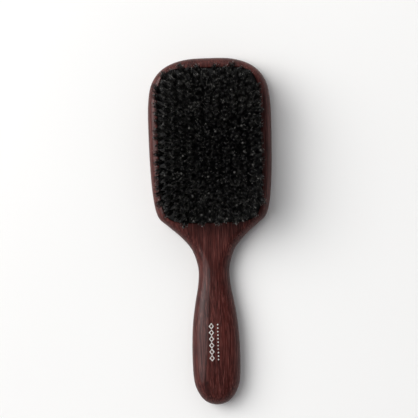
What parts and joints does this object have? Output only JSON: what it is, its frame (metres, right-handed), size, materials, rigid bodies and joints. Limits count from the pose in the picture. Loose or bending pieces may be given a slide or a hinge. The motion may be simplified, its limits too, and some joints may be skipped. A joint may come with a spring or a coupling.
{
  "type": "paddle hairbrush",
  "caption": "Wooden paddle hairbrush with a domed air cushion, dense bristle tufts and ball-tipped quills.",
  "frame": {"origin": "middle of the brush's length and width, on the surface that its flat back lies on", "axes": "+Z out of the bristle side, +Y from the handle towards the head, +X across to the right seen from the bristle side with the head up"},
  "size_m": [0.0854, 0.24, 0.0367],
  "materials": {
    "lacquered_wood": "gloss",
    "black_rubber": "matte",
    "black_bristle": "satin",
    "black_nylon": "satin",
    "steel_wire": "satin"
  },
  "bodies": {
    "paddle": {"wooden_paddle": "lacquered_wood", "rubber_cushion": "black_rubber"},
    "ring_1": {"bristle_tufts_ring_1": "black_bristle", "nylon_quills_ring_1": "black_nylon", "wire_anchors_ring_1": "steel_wire"},
    "ring_2": {"bristle_tufts_ring_2": "black_bristle", "nylon_quills_ring_2": "black_nylon", "wire_anchors_ring_2": "steel_wire"},
    "ring_3": {"bristle_tufts_ring_3": "black_bristle", "nylon_quills_ring_3": "black_nylon", "wire_anchors_ring_3": "steel_wire"},
    "ring_4": {"bristle_tufts_ring_4": "black_bristle", "nylon_quills_ring_4": "black_nylon", "wire_anchors_ring_4": "steel_wire"},
    "ring_5": {"bristle_tufts_ring_5": "black_bristle", "nylon_quills_ring_5": "black_nylon", "wire_anchors_ring_5": "steel_wire"},
    "ring_6": {"bristle_tufts_ring_6": "black_bristle", "nylon_quills_ring_6": "black_nylon", "wire_anchors_ring_6": "steel_wire"}
  },
  "joints": [
    {"name": "cushion_press", "type": "slide", "parent": "paddle", "child": "ring_1", "axis": [0, 0, -1], "range_m": [0, 0.004], "stiffness_N_per_m": 280, "deforming": ["rubber_cushion"]},
    {"name": "ring_2_press", "type": "slide", "parent": "paddle", "child": "ring_2", "axis": [0, 0, -1], "range_m": [0, 0.00392], "stiffness_N_per_m": 880},
    {"name": "ring_3_press", "type": "slide", "parent": "paddle", "child": "ring_3", "axis": [0, 0, -1], "range_m": [0, 0.00376], "stiffness_N_per_m": 1600},
    {"name": "ring_4_press", "type": "slide", "parent": "paddle", "child": "ring_4", "axis": [0, 0, -1], "range_m": [0, 0.0034], "stiffness_N_per_m": 1920},
    {"name": "ring_5_press", "type": "slide", "parent": "paddle", "child": "ring_5", "axis": [0, 0, -1], "range_m": [0, 0.00272], "stiffness_N_per_m": 2400},
    {"name": "ring_6_press", "type": "slide", "parent": "paddle", "child": "ring_6", "axis": [0, 0, -1], "range_m": [0, 0.00164], "stiffness_N_per_m": 2560}
  ],
  "couplings": [
    {"joint": "ring_2_press", "follows": "cushion_press", "ratio": 0.98},
    {"joint": "ring_3_press", "follows": "cushion_press", "ratio": 0.94},
    {"joint": "ring_4_press", "follows": "cushion_press", "ratio": 0.85},
    {"joint": "ring_5_press", "follows": "cushion_press", "ratio": 0.68},
    {"joint": "ring_6_press", "follows": "cushion_press", "ratio": 0.41}
  ]
}
